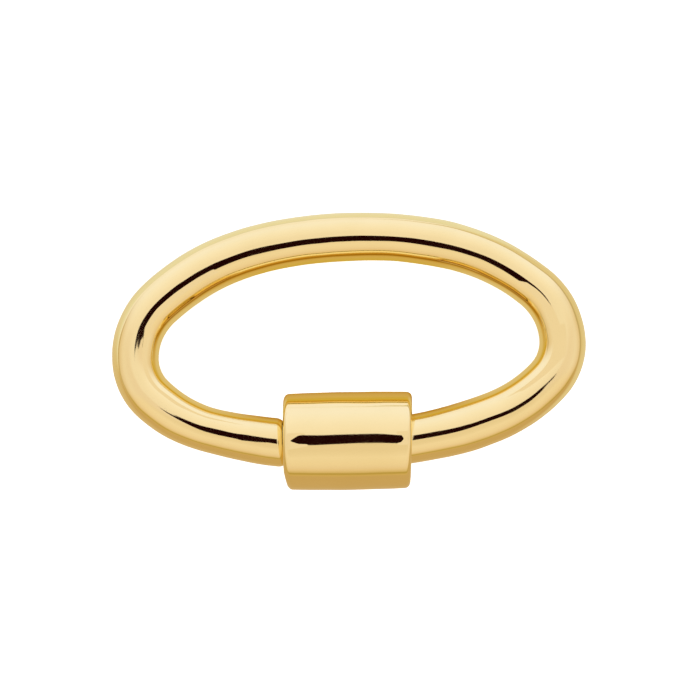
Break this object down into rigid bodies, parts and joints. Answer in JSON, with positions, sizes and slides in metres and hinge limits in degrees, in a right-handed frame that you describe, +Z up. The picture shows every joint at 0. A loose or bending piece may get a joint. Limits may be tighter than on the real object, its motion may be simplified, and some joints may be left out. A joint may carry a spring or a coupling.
{
  "type": "carabiner clasp",
  "caption": "Oval link of round polished gold wire, closed at the front by a short thick screw barrel that slides along the wire to open a gap.",
  "frame": {"origin": "bottom centre of the whole clasp as it lies at rest on the barrel and the back of the link", "axes": "+X along the long axis of the oval, +Y from the barrel towards the back of the link, +Z up"},
  "size_m": [0.022, 0.0128, 0.0045],
  "materials": {
    "link_gold": "mirror polished yellow gold",
    "barrel_gold": "mirror polished yellow gold"
  },
  "bodies": {
    "link": {"oval_link": "link_gold"},
    "barrel": {"screw_barrel": "barrel_gold"}
  },
  "joints": [
    {"name": "barrel_travel", "type": "hinge", "parent": "link", "child": "barrel", "pos_m": [0, 0.01655, -0.00024], "axis": [0, 0.1192, 0.9929], "range_deg": [0, 9.5]}
  ]
}
